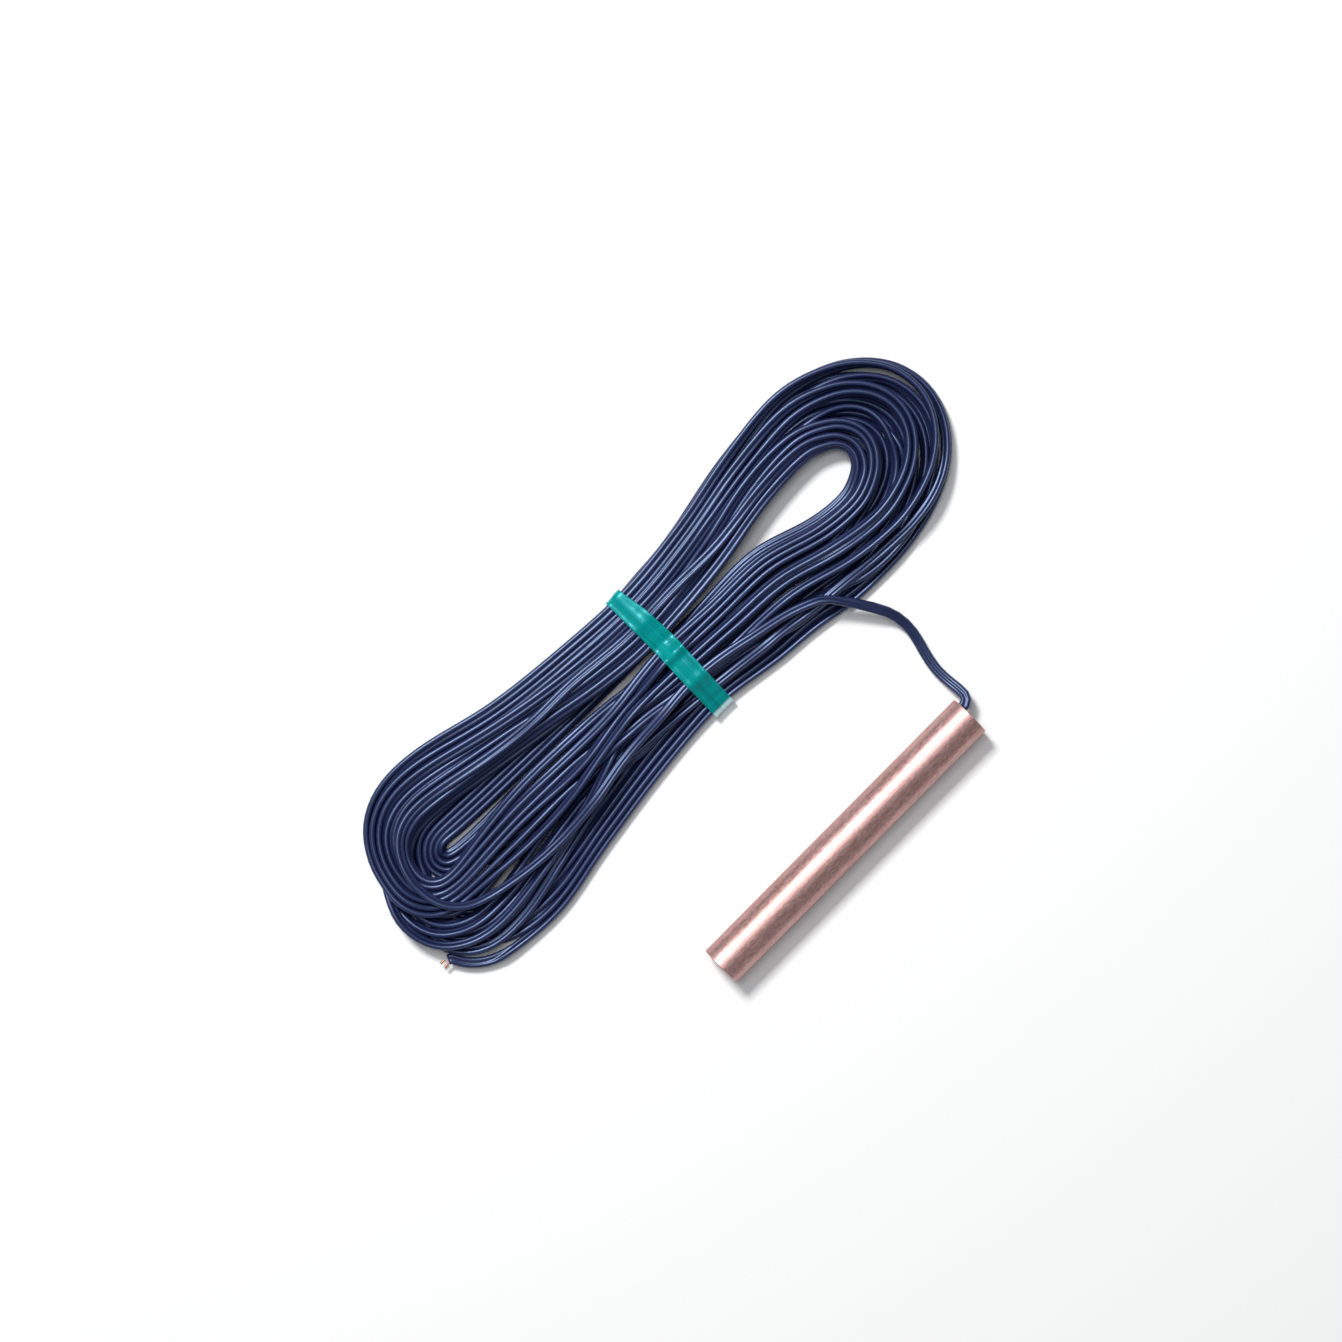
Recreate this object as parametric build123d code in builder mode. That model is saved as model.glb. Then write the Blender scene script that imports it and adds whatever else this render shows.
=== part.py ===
from build123d import *
import math
import os

os.makedirs("parts", exist_ok=True)

# A buried moisture sensor: a sealed copper sheath that lies along X with its tip towards -X,
# and a two-core flat lead, wound into a long hank that lies beside it on the same surface.
# The origin is on the surface, under the middle of the sheath. Sizes are in millimetres.

# ---- Copper sheath ----
sheath_length = 101.6
sheath_diameter = 12.7
sheath_wall = 0.89
sheath_edge_break = 0.2
bore_diameter = sheath_diameter - 2 * sheath_wall
axis_height = sheath_diameter / 2
tip_x = -sheath_length / 2
mouth_x = sheath_length / 2

# ---- Tip disc, filling, potting and mouth seal, from the tip to the mouth ----
tip_disc_recess = 0.8
tip_disc_thickness = 1.2
filler_length = 20.0
mouth_recess = 1.0
mouth_seal_length = 3.0
disc_inner_x = tip_x + tip_disc_recess + tip_disc_thickness
filler_end_x = disc_inner_x + filler_length
seal_outer_x = mouth_x - mouth_recess
seal_inner_x = seal_outer_x - mouth_seal_length

# ---- Two-core flat lead ----
core_pitch = 1.5
lobe_diameter = 1.7
conductor_diameter = 0.75
lead_width = core_pitch + lobe_diameter

# ---- Sensing element ----
bead_diameter = 2.6
bead_length = 4.0
bead_depth = 9.0
leg_diameter = 0.4
leg_pitch = 1.4
leg_socket = 1.2
leg_straight = 3.0
leg_fan_length = 4.0
bead_start_x = disc_inner_x + bead_depth
bead_end_x = bead_start_x + bead_length
leg_fan_x = bead_end_x + leg_straight

# ---- Sleeves and staggered splices ----
splice_pitch = 3.4
leg_sleeve_wall = 0.35
sleeve_gap = 0.4
crimp_length = 6.0
crimp_wall = 0.4
splice_gap = 6.0
splice_stagger = crimp_length + splice_gap
splice_sleeve_wall = 0.3
splice_sleeve_overhang = 0.8
crimp_diameter = conductor_diameter + 2 * crimp_wall
leg_sleeve_diameter = leg_diameter + 2 * leg_sleeve_wall
first_crimp_x = leg_fan_x + leg_fan_length + 2 * splice_gap / 3
strip_gap = 1.2

# ---- Lead inside the sheath ----
core_fan_length = 8.0
core_fan_start = 2.5
ferrule_length = 5.0
ferrule_wall = 0.7
ferrule_gap = 4.0
lead_offset = 3.0
lead_shift_length = 10.0
second_crimp_x = first_crimp_x + splice_stagger
core_fan_x = second_crimp_x + crimp_length + core_fan_start
lead_joined_x = core_fan_x + core_fan_length
ferrule_x = lead_joined_x + ferrule_gap
lead_shift_x = ferrule_x + ferrule_length + ferrule_gap
bend_share = 0.45

# ---- Tie band round the hank's waist ----
tie_centre_x = 3.0
tie_width = 7.2
tie_thickness = 0.5
tie_corner = 2.6

# ---- Hank: waist, heights and hollow ----
waist_low_y = 52.0
waist_high_y = 96.4
waist_straight = 14.0
waist_height = 8.6
hank_end_height = 6.0
hank_edge_round = 1.4
hollow_floor = 2.6
hank_reach = 112.0
waist_left_x = tie_centre_x - waist_straight / 2
waist_right_x = tie_centre_x + waist_straight / 2

# ---- Far end of the lead, stripped at the cut ----
tail_length = 2.4
tail_root = 3.0
tail_height = 3.0
far_end_x = -105.0
far_end_y = 57.0

# ---- Free lead, from the mouth seal to where it climbs on to the hank ----
free_route = [
    (seal_outer_x, lead_offset, axis_height),
    (52.7, lead_offset, axis_height),
    (55.0, 5.2, 5.5),
    (54.0, 10.2, 3.1),
    (53.5, 15.8, 1.9),
    (54.8, 22.0, 1.65),
    (56.8, 28.4, 2.0),
    (56.6, 35.0, 3.7),
    (53.8, 41.0, 6.4),
    (49.8, 46.4, 8.2),
    (45.2, 51.4, 5.6),
]


def bend_radii(points, share):
    """Arc radius at each corner: a share of the shorter run over the tangent of half the turn."""
    places = [Vector(*point) for point in points]
    radii = []
    for before, corner, after in zip(places, places[1:], places[2:]):
        run_in = corner - before
        run_out = after - corner
        turn = math.radians(run_in.get_angle(run_out))
        shorter = min(run_in.length, run_out.length)
        radii.append(share * shorter / math.tan(turn / 2))
    return radii


def beside_axis(stations, side):
    """Turns stations of (x, pitch, y shift) into points on one side of the lead's middle."""
    return [(x, side * pitch / 2 + shift, axis_height) for x, pitch, shift in stations]


def cross_plane(point):
    """A plane square to the sheath's axis, with its origin at the point."""
    return Plane(origin=point, x_dir=(0, 1, 0), z_dir=(1, 0, 0))


def core_points(side, strip_x):
    """The middle line of one core, from its stripped end at a crimp to the mouth seal."""
    stations = [
        (strip_x, splice_pitch, 0),
        (core_fan_x, splice_pitch, 0),
        (lead_joined_x, core_pitch, 0),
        (lead_shift_x, core_pitch, 0),
        (lead_shift_x + lead_shift_length, core_pitch, lead_offset),
        (seal_outer_x, core_pitch, lead_offset),
    ]
    return beside_axis(stations, side)


def leg_points(side, end_x):
    """The middle line of one thermistor leg, from inside the bead to the middle of its crimp."""
    stations = [
        (bead_end_x - leg_socket, leg_pitch, 0),
        (leg_fan_x, leg_pitch, 0),
        (leg_fan_x + leg_fan_length, splice_pitch, 0),
        (end_x, splice_pitch, 0),
    ]
    return beside_axis(stations, side)


# ---- Copper sheath: a plain tube, its rims lightly deburred ----
with BuildPart() as copper_sheath:
    with BuildSketch(Plane.YZ.offset(tip_x)):
        with Locations((0, axis_height)):
            Circle(sheath_diameter / 2)
            Circle(bore_diameter / 2, mode=Mode.SUBTRACT)
    extrude(amount=sheath_length)
    rims = copper_sheath.edges().filter_by(GeomType.CIRCLE)
    chamfer(rims, length=sheath_edge_break)

# ---- Copper disc pressed into the tip ----
with BuildPart() as tip_disc:
    with BuildSketch(Plane.YZ.offset(tip_x + tip_disc_recess)):
        with Locations((0, axis_height)):
            Circle(bore_diameter / 2)
    extrude(amount=tip_disc_thickness)

# ---- Thermistor legs: straight out of the bead, then spread to the splices ----
legs = {}
leg_sleeves = {}
for name, side, crimp_x in (("a", 1, first_crimp_x), ("b", -1, second_crimp_x)):
    leg_route = leg_points(side, crimp_x + crimp_length / 2)
    leg_radii = bend_radii(leg_route, bend_share)
    with BuildPart() as leg:
        with BuildLine() as leg_line:
            FilletPolyline(*leg_route, radius=leg_radii)
        with BuildSketch(cross_plane(leg_route[0])):
            Circle(leg_diameter / 2)
        sweep(path=leg_line.wires()[0])
    leg.part.label = "thermistor_leg_" + name
    legs[name] = leg

    # The sleeve follows the same bends, from just outside the bead to just short of the crimp.
    sleeve_route = list(leg_route)
    sleeve_route[0] = (bead_end_x + sleeve_gap, leg_route[0][1], axis_height)
    sleeve_route[-1] = (crimp_x - sleeve_gap, leg_route[-1][1], axis_height)
    with BuildPart() as leg_sleeve:
        with BuildLine() as sleeve_line:
            FilletPolyline(*sleeve_route, radius=leg_radii)
        with BuildSketch(cross_plane(sleeve_route[0])):
            Circle(leg_sleeve_diameter / 2)
        sweep(path=sleeve_line.wires()[0])
        add(leg.part, mode=Mode.SUBTRACT)
    leg_sleeve.part.label = "leg_sleeve_" + name
    leg_sleeves[name] = leg_sleeve

# ---- Thermistor bead: a small round-ended capsule with the two legs set into it ----
with BuildPart() as thermistor_bead:
    with BuildSketch(Plane.YZ.offset(bead_start_x)):
        with Locations((0, axis_height)):
            Circle(bead_diameter / 2)
    extrude(amount=bead_length)
    bead_ends = thermistor_bead.edges().filter_by(GeomType.CIRCLE)
    fillet(bead_ends, radius=0.35 * bead_diameter)
    for leg in legs.values():
        add(leg.part, mode=Mode.SUBTRACT)

# ---- Lead inside the sheath: outline of both lobes, then its cores and its insulation ----
core_ends = (("a", 1, first_crimp_x), ("b", -1, second_crimp_x))
conductors = {}
with BuildPart() as lead_outline:
    for name, side, crimp_x in core_ends:
        bared_x = crimp_x + crimp_length + strip_gap
        lobe_route = core_points(side, bared_x)
        lobe_radii = bend_radii(lobe_route, bend_share)
        with BuildLine() as lobe_line:
            FilletPolyline(*lobe_route, radius=lobe_radii)
        with BuildSketch(cross_plane(lobe_route[0])):
            Circle(lobe_diameter / 2)
        sweep(path=lobe_line.wires()[0])

for name, side, crimp_x in core_ends:
    bared_x = crimp_x + crimp_length + strip_gap
    lobe_radii = bend_radii(core_points(side, bared_x), bend_share)
    core_route = core_points(side, crimp_x + crimp_length / 2)
    with BuildPart() as conductor:
        with BuildLine() as core_line:
            FilletPolyline(*core_route, radius=lobe_radii)
        with BuildSketch(cross_plane(core_route[0])):
            Circle(conductor_diameter / 2)
        sweep(path=core_line.wires()[0])
    conductor.part.label = "conductor_" + name
    conductors[name] = conductor

with BuildPart() as lead_inner:
    add(lead_outline.part)
    for conductor in conductors.values():
        add(conductor.part, mode=Mode.SUBTRACT)

# ---- Splices: a crimp over the leg and the bared core, and a shrunk sleeve over each crimp ----
crimps = {}
splice_sleeves = {}
for name, side, crimp_x in core_ends:
    crimp_place = cross_plane((crimp_x, side * splice_pitch / 2, axis_height))
    with BuildPart() as crimp:
        with BuildSketch(crimp_place):
            Circle(crimp_diameter / 2)
        extrude(amount=crimp_length)
        add(legs[name].part, mode=Mode.SUBTRACT)
        add(conductors[name].part, mode=Mode.SUBTRACT)
    crimp.part.label = "splice_crimp_" + name
    crimps[name] = crimp

    with BuildPart() as splice_sleeve:
        with BuildSketch(crimp_place.offset(-splice_sleeve_overhang)):
            Circle(crimp_diameter / 2 + splice_sleeve_wall)
        extrude(amount=crimp_length + 2 * splice_sleeve_overhang)
        with BuildSketch(crimp_place):
            Circle(crimp_diameter / 2)
        extrude(amount=crimp_length, mode=Mode.SUBTRACT)
        add(legs[name].part, mode=Mode.SUBTRACT)
        add(leg_sleeves[name].part, mode=Mode.SUBTRACT)
        add(conductors[name].part, mode=Mode.SUBTRACT)
    splice_sleeve.part.label = "splice_sleeve_" + name
    splice_sleeves[name] = splice_sleeve

# ---- Ferrule crimped on the lead, buried in the potting so that the lead can't be pulled out ----
with BuildPart() as retaining_ferrule:
    with BuildSketch(Plane.YZ.offset(ferrule_x)):
        with Locations((0, axis_height)):
            SlotOverall(lead_width + 2 * ferrule_wall, lobe_diameter + 2 * ferrule_wall)
    extrude(amount=ferrule_length)
    add(lead_outline.part, mode=Mode.SUBTRACT)

# ---- Heat-conducting filler round the bead, resin behind it, and a soft seal at the mouth ----
with BuildPart() as thermal_filler:
    with BuildSketch(Plane.YZ.offset(disc_inner_x)):
        with Locations((0, axis_height)):
            Circle(bore_diameter / 2)
    extrude(amount=filler_length)
    add(thermistor_bead.part, mode=Mode.SUBTRACT)
    for name in ("a", "b"):
        add(legs[name].part, mode=Mode.SUBTRACT)
        add(leg_sleeves[name].part, mode=Mode.SUBTRACT)

with BuildPart() as potting_compound:
    with BuildSketch(Plane.YZ.offset(filler_end_x)):
        with Locations((0, axis_height)):
            Circle(bore_diameter / 2)
    extrude(amount=seal_inner_x - filler_end_x)
    add(lead_outline.part, mode=Mode.SUBTRACT)
    add(retaining_ferrule.part, mode=Mode.SUBTRACT)
    for name in ("a", "b"):
        add(legs[name].part, mode=Mode.SUBTRACT)
        add(leg_sleeves[name].part, mode=Mode.SUBTRACT)
        add(conductors[name].part, mode=Mode.SUBTRACT)
        add(crimps[name].part, mode=Mode.SUBTRACT)
        add(splice_sleeves[name].part, mode=Mode.SUBTRACT)

with BuildPart() as mouth_seal:
    with BuildSketch(Plane.YZ.offset(seal_inner_x)):
        with Locations((0, axis_height)):
            Circle(bore_diameter / 2)
    extrude(amount=mouth_seal_length)
    add(lead_outline.part, mode=Mode.SUBTRACT)

# ---- Hank: one closed body with the outer shape of the wound lead ----
with BuildPart() as lead_hank:
    # Plan: two long loops joined at a straight waist.
    with BuildSketch():
        with BuildLine():
            Spline(
                (waist_right_x, waist_high_y),
                (38, 100.0),
                (70, 105.4),
                (94, 99.8),
                (108, 86.5),
                (110.6, 73.0),
                (104, 58.5),
                (90, 50.2),
                (66, 45.6),
                (38, 47.6),
                (waist_right_x, waist_low_y),
                tangents=[(1, 0), (-1, 0)],
            )
            Line((waist_right_x, waist_low_y), (waist_left_x, waist_low_y))
            Spline(
                (waist_left_x, waist_low_y),
                (-32, 49.6),
                (-58, 45.6),
                (-80, 43.6),
                (-97, 47.6),
                (-106, 58.0),
                (-107.6, 72.0),
                (-102.6, 88.0),
                (-92, 101.6),
                (-76, 106.0),
                (-50, 101.6),
                (-28, 98.6),
                (waist_left_x, waist_high_y),
                tangents=[(-1, 0), (1, 0)],
            )
            Line((waist_left_x, waist_high_y), (waist_right_x, waist_high_y))
        make_face()
    extrude(amount=waist_height)
    # Side view: highest at the tied waist, lower where the loops spread.
    with BuildSketch(Plane.XZ.offset(-(waist_low_y + waist_high_y) / 2)):
        with BuildLine():
            Polyline(
                (-hank_reach, 0),
                (hank_reach, 0),
                (hank_reach, hank_end_height),
                (waist_right_x, waist_height),
                (waist_left_x, waist_height),
                (-hank_reach, hank_end_height),
                close=True,
            )
        make_face()
    extrude(amount=hank_reach, both=True, mode=Mode.INTERSECT)
    top_rim = lead_hank.edges().filter_by_position(Axis.Z, hank_end_height, waist_height)
    fillet(top_rim, radius=hank_edge_round)
    # The right loop is open through to the surface.
    with BuildSketch():
        with BuildLine():
            Spline((30, 77.6), (50, 82.0), (67, 82.6), (78, 76.6), (66, 71.4), (48, 73.4), periodic=True)
        make_face()
    extrude(amount=waist_height, mode=Mode.SUBTRACT)
    # The left loop is a hollow with other turns across its floor.
    with BuildSketch(Plane.XY.offset(hollow_floor)):
        with BuildLine():
            Spline((-18, 79.4), (-42, 84.4), (-66, 91.0), (-84, 90.0), (-84, 81.6), (-62, 75.4), (-40, 76.0),
                   periodic=True)
        make_face()
    extrude(amount=waist_height, mode=Mode.SUBTRACT)
    # Groove all round the waist for the tie.
    with BuildSketch(Plane.YZ.offset(tie_centre_x - tie_width / 2)):
        with Locations(((waist_low_y + waist_high_y) / 2, waist_height / 2)):
            Rectangle(2 * (waist_high_y - waist_low_y), 4 * waist_height)
            RectangleRounded(
                waist_high_y - waist_low_y,
                waist_height - 2 * tie_thickness,
                tie_corner,
                mode=Mode.SUBTRACT,
            )
    extrude(amount=tie_width, mode=Mode.SUBTRACT)

# ---- Tie band: a thin closed loop in the groove ----
with BuildPart() as tie_band:
    with BuildSketch(Plane.YZ.offset(tie_centre_x - tie_width / 2)):
        with Locations(((waist_low_y + waist_high_y) / 2, waist_height / 2)):
            RectangleRounded(
                waist_high_y - waist_low_y + 2 * tie_thickness,
                waist_height,
                tie_corner + tie_thickness,
            )
            RectangleRounded(
                waist_high_y - waist_low_y,
                waist_height - 2 * tie_thickness,
                tie_corner,
                mode=Mode.SUBTRACT,
            )
    extrude(amount=tie_width)

# ---- Free lead: straight runs joined by tangent arcs, ending on the hank ----
free_radii = bend_radii(free_route, bend_share)
with BuildPart() as lead_free:
    with BuildLine() as free_line:
        FilletPolyline(*free_route, radius=free_radii)
    with BuildSketch(Plane(origin=free_line.wires()[0] @ 0, z_dir=free_line.wires()[0] % 0)):
        Circle(lead_width / 2)
    sweep(path=free_line.wires()[0])
    swept_volume = lead_free.part.volume
    add(lead_hank.part, mode=Mode.SUBTRACT)
section_times_length = math.pi * (lead_width / 2) ** 2 * free_line.wires()[0].length
print("free lead radii", [round(radius, 1) for radius in free_radii])
print("free lead length", round(free_line.wires()[0].length, 1))
print("free lead volume", round(swept_volume, 1), "section times length", round(section_times_length, 1))

# ---- Bared core ends at the far end of the lead, standing out of the hank's side ----
tails = {}
for name, side in (("a", 1), ("b", -1)):
    tail_start = (far_end_x + tail_root, far_end_y + side * core_pitch / 2, tail_height)
    with BuildPart() as tail:
        with BuildSketch(-cross_plane(tail_start)):
            Circle(conductor_diameter / 2)
        extrude(amount=tail_root + tail_length)
        add(lead_hank.part, mode=Mode.SUBTRACT)
    tail.part.label = "far_tail_" + name
    tails[name] = tail

# ---- Names and files ----
copper_sheath.part.label = "copper_sheath"
tip_disc.part.label = "tip_disc"
thermistor_bead.part.label = "thermistor_bead"
lead_inner.part.label = "lead_inner"
retaining_ferrule.part.label = "retaining_ferrule"
thermal_filler.part.label = "thermal_filler"
potting_compound.part.label = "potting_compound"
mouth_seal.part.label = "mouth_seal"
lead_hank.part.label = "lead_hank"
tie_band.part.label = "tie_band"
lead_free.part.label = "lead_free"

single_pieces = [
    copper_sheath,
    tip_disc,
    thermistor_bead,
    lead_inner,
    retaining_ferrule,
    thermal_filler,
    potting_compound,
    mouth_seal,
    lead_hank,
    tie_band,
    lead_free,
]
paired_pieces = []
for pair in (legs, leg_sleeves, conductors, crimps, splice_sleeves, tails):
    paired_pieces.extend(pair.values())

for piece in single_pieces + paired_pieces:
    export_step(piece.part, "parts/" + piece.part.label + ".step")
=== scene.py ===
import logging
import math
from dataclasses import dataclass
from enum import Enum
from typing import Sequence

import bmesh
import bpy
import numpy as np
from mathutils import Matrix, Vector


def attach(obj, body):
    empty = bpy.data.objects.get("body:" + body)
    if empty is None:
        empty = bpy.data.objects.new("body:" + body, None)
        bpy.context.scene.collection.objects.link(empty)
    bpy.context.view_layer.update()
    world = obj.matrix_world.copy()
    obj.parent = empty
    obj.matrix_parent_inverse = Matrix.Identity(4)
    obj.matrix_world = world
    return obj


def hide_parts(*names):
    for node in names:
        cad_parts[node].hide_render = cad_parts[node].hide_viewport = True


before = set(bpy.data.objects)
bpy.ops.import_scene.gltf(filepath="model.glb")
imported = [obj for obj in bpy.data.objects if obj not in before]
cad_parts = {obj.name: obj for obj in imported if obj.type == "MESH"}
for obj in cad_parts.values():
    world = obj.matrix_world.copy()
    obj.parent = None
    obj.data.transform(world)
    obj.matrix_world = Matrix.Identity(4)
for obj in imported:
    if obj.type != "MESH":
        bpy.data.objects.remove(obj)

LOG = logging.getLogger("moisture_sensor")
MM = 0.001
ROOT = "root"


# ---- Shader maths ----


class Value:
    """A number that varies over a surface. Arithmetic on it adds Math nodes to its tree."""

    def __init__(self, tree: bpy.types.NodeTree, socket: bpy.types.NodeSocket) -> None:
        """Wraps one output socket of a tree."""
        self.tree = tree
        self.socket = socket

    def math(self, operation: str, *others: "Value | float", first: bool = True) -> "Value":
        """Adds one Math node.

        Args:
            operation: the Math node's operation.
            others: the other operands, wrapped or plain.
            first: whether this value is the first operand.

        Returns:
            The node's result.
        """
        node = self.tree.nodes.new("ShaderNodeMath")
        node.operation = operation
        operands = [self, *others] if first else [*others, self]
        for slot, operand in zip(node.inputs, operands):
            if isinstance(operand, Value):
                self.tree.links.new(operand.socket, slot)
            else:
                slot.default_value = operand
        return Value(self.tree, node.outputs[0])

    def __add__(self, other: "Value | float") -> "Value":
        """Adds."""
        return self.math("ADD", other)

    __radd__ = __add__

    def __mul__(self, other: "Value | float") -> "Value":
        """Multiplies."""
        return self.math("MULTIPLY", other)

    __rmul__ = __mul__

    def __sub__(self, other: "Value | float") -> "Value":
        """Subtracts the other."""
        return self.math("SUBTRACT", other)

    def __rsub__(self, other: "Value | float") -> "Value":
        """Is subtracted from the other."""
        return self.math("SUBTRACT", other, first=False)

    def clamped(self) -> "Value":
        """Returns the value held between 0 and 1."""
        return self.math("MAXIMUM", 0.0).math("MINIMUM", 1.0)


Colour = tuple[float, float, float]


class Surface:
    """One material under construction: its tree, its shader and the nodes that feed it."""

    def __init__(self, name: str) -> None:
        """Starts a material that holds only its Principled shader and output."""
        self.material = bpy.data.materials.new(name)
        self.material.use_nodes = True
        self.tree = self.material.node_tree
        self.tree.nodes.clear()
        self.shader = self.tree.nodes.new("ShaderNodeBsdfPrincipled")
        output = self.tree.nodes.new("ShaderNodeOutputMaterial")
        self.tree.links.new(self.shader.outputs["BSDF"], output.inputs["Surface"])

    def node(
        self, kind: str, settings: dict | None = None, inputs: dict | None = None
    ) -> bpy.types.Node:
        """Adds any node.

        Args:
            kind: the node's type name.
            settings: properties of the node, set before its sockets.
            inputs: socket name or number to a plain value, a Value or a socket to link.

        Returns:
            The new node.
        """
        made = self.tree.nodes.new(kind)
        for key, setting in (settings or {}).items():
            setattr(made, key, setting)
        for key, given in (inputs or {}).items():
            self._fill(made.inputs[key], given)
        return made

    def _fill(
        self, slot: bpy.types.NodeSocket, given: Value | bpy.types.NodeSocket | Colour | float
    ) -> None:
        """Links what varies to a socket, and sets the socket to what doesn't."""
        if isinstance(given, Value):
            self.tree.links.new(given.socket, slot)
        elif isinstance(given, bpy.types.NodeSocket):
            self.tree.links.new(given, slot)
        elif slot.type == "RGBA":
            slot.default_value = (*given, 1.0)
        else:
            slot.default_value = given

    def place(self, scale: Sequence[float], uv: str = "") -> bpy.types.NodeSocket:
        """Returns coordinates on the piece, scaled: the object's own metres, or a named UV map."""
        if uv:
            source = self.node("ShaderNodeUVMap", {"uv_map": uv}).outputs["UV"]
        else:
            source = self.node("ShaderNodeTexCoord").outputs["Object"]
        mapping = self.node("ShaderNodeMapping", None, {"Vector": source, "Scale": tuple(scale)})
        return mapping.outputs["Vector"]

    def position(self, axis: str) -> Value:
        """Returns one of the object's own coordinates, in metres."""
        source = self.node("ShaderNodeTexCoord").outputs["Object"]
        return Value(self.tree, self.node("ShaderNodeSeparateXYZ", None, {0: source}).outputs[axis])

    def noise(
        self,
        scale: Sequence[float],
        detail: float = 3.0,
        roughness: float = 0.55,
        distortion: float = 0.0,
        uv: str = "",
    ) -> Value:
        """Returns a noise that averages one half, with its own size along each axis."""
        made = self.node(
            "ShaderNodeTexNoise",
            None,
            {
                "Vector": self.place(scale, uv),
                "Scale": 1.0,
                "Detail": detail,
                "Roughness": roughness,
                "Distortion": distortion,
            },
        )
        return Value(self.tree, made.outputs["Fac"])

    def level(self, value: Value, low: float, high: float) -> Value:
        """Returns a value stretched so that low becomes 0 and high becomes 1, and held there."""
        made = self.node(
            "ShaderNodeMapRange",
            {"clamp": True},
            {"Value": value, "From Min": low, "From Max": high, "To Min": 0.0, "To Max": 1.0},
        )
        return Value(self.tree, made.outputs["Result"])

    def mix(
        self,
        factor: Value | float,
        first: bpy.types.NodeSocket | Colour,
        second: bpy.types.NodeSocket | Colour,
    ) -> bpy.types.NodeSocket:
        """Returns two colours mixed by a factor."""
        made = self.node("ShaderNodeMix", {"data_type": "RGBA"})
        colour_slots = [slot for slot in made.inputs if slot.type == "RGBA"]
        for slot, given in zip([made.inputs["Factor"], *colour_slots], (factor, first, second)):
            self._fill(slot, given)
        return next(slot for slot in made.outputs if slot.type == "RGBA")

    def bump(self, height: Value, strength: float, distance: float) -> None:
        """Feeds a height field to the shader's normal through a Bump node."""
        made = self.node(
            "ShaderNodeBump", None, {"Height": height, "Strength": strength, "Distance": distance}
        )
        self.tree.links.new(made.outputs["Normal"], self.shader.inputs["Normal"])

    def feed(self, name: str, given: Value | bpy.types.NodeSocket) -> None:
        """Links something that varies to a shader socket."""
        socket = given.socket if isinstance(given, Value) else given
        self.tree.links.new(socket, self.shader.inputs[name])

    def constants(self, **values: float | Colour) -> None:
        """Sets shader sockets that are the same all over, with words joined by underscores."""
        for key, value in values.items():
            name = " ".join(word if word == "IOR" else word.capitalize() for word in key.split("_"))
            socket = self.shader.inputs[name]
            socket.default_value = (*value, 1.0) if isinstance(value, tuple) else value


# ---- Finishes ----


@dataclass(frozen=True)
class DrawnCopper:
    """Satin drawn copper tube: a lengthwise grain, fine speckle and faint handling stains."""

    name: str = "drawn copper"
    bright: Colour = (0.68, 0.43, 0.41)
    dull: Colour = (0.44, 0.245, 0.225)
    stain: Colour = (0.30, 0.14, 0.12)
    edge: Colour = (0.80, 0.72, 0.72)
    roughness: float = 0.43
    metallic: float = 0.85

    def build(self) -> bpy.types.Material:
        """Returns the material."""
        surface = Surface(self.name)
        grain = surface.noise((60, 2600, 2600), detail=4)
        speckle = surface.noise((700, 1500, 1500), detail=3, roughness=0.7)
        cloud = surface.noise((55, 70, 70), detail=4, roughness=0.6)
        stains = surface.level(surface.noise((90, 160, 160), detail=5, distortion=0.6), 0.60, 0.78)
        wear = surface.level(grain * 0.25 + cloud * 0.25 + speckle * 0.5, 0.40, 0.60)
        colour = surface.mix(wear, self.dull, self.bright)
        colour = surface.mix(stains * 0.35, colour, self.stain)
        surface.feed("Base Color", colour)
        surface.feed("Roughness", self.roughness + (speckle - 0.5) * 0.30 + stains * 0.10)
        surface.constants(Metallic=self.metallic, Specular_Tint=self.edge)
        surface.bump(grain * 0.5 + speckle * 0.5, 0.5, 0.00006)
        return surface.material


@dataclass(frozen=True)
class Vinyl:
    """Soft glossy insulation: an even colour with faint clouding, drag lines and a skin of fine dimples."""

    name: str = "navy insulation"
    colour: Colour = (0.010, 0.014, 0.056)
    worn: Colour = (0.016, 0.022, 0.078)
    sheen: Colour = (0.50, 0.66, 1.0)
    roughness: float = 0.34
    line: str = "along"

    def build(self) -> bpy.types.Material:
        """Returns the material."""
        surface = Surface(self.name)
        cloud = surface.noise((55, 55, 55), detail=3)
        scuff = surface.level(surface.noise((260, 260, 260), detail=4, distortion=0.5), 0.55, 0.75)
        drag = surface.noise((30, 7, 1), detail=3, uv=self.line)
        dimple = surface.noise((2300, 2300, 2300), detail=2)
        colour = surface.mix(surface.level(cloud, 0.35, 0.65), self.colour, self.worn)
        surface.feed("Base Color", colour)
        surface.feed("Roughness", self.roughness + scuff * 0.10 + (dimple - 0.5) * 0.06)
        surface.constants(Specular_IOR_Level=0.95, Specular_Tint=self.sheen)
        surface.bump(drag * 0.6 + dimple * 0.25 + scuff * 0.15, 0.30, 0.00006)
        return surface.material


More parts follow.
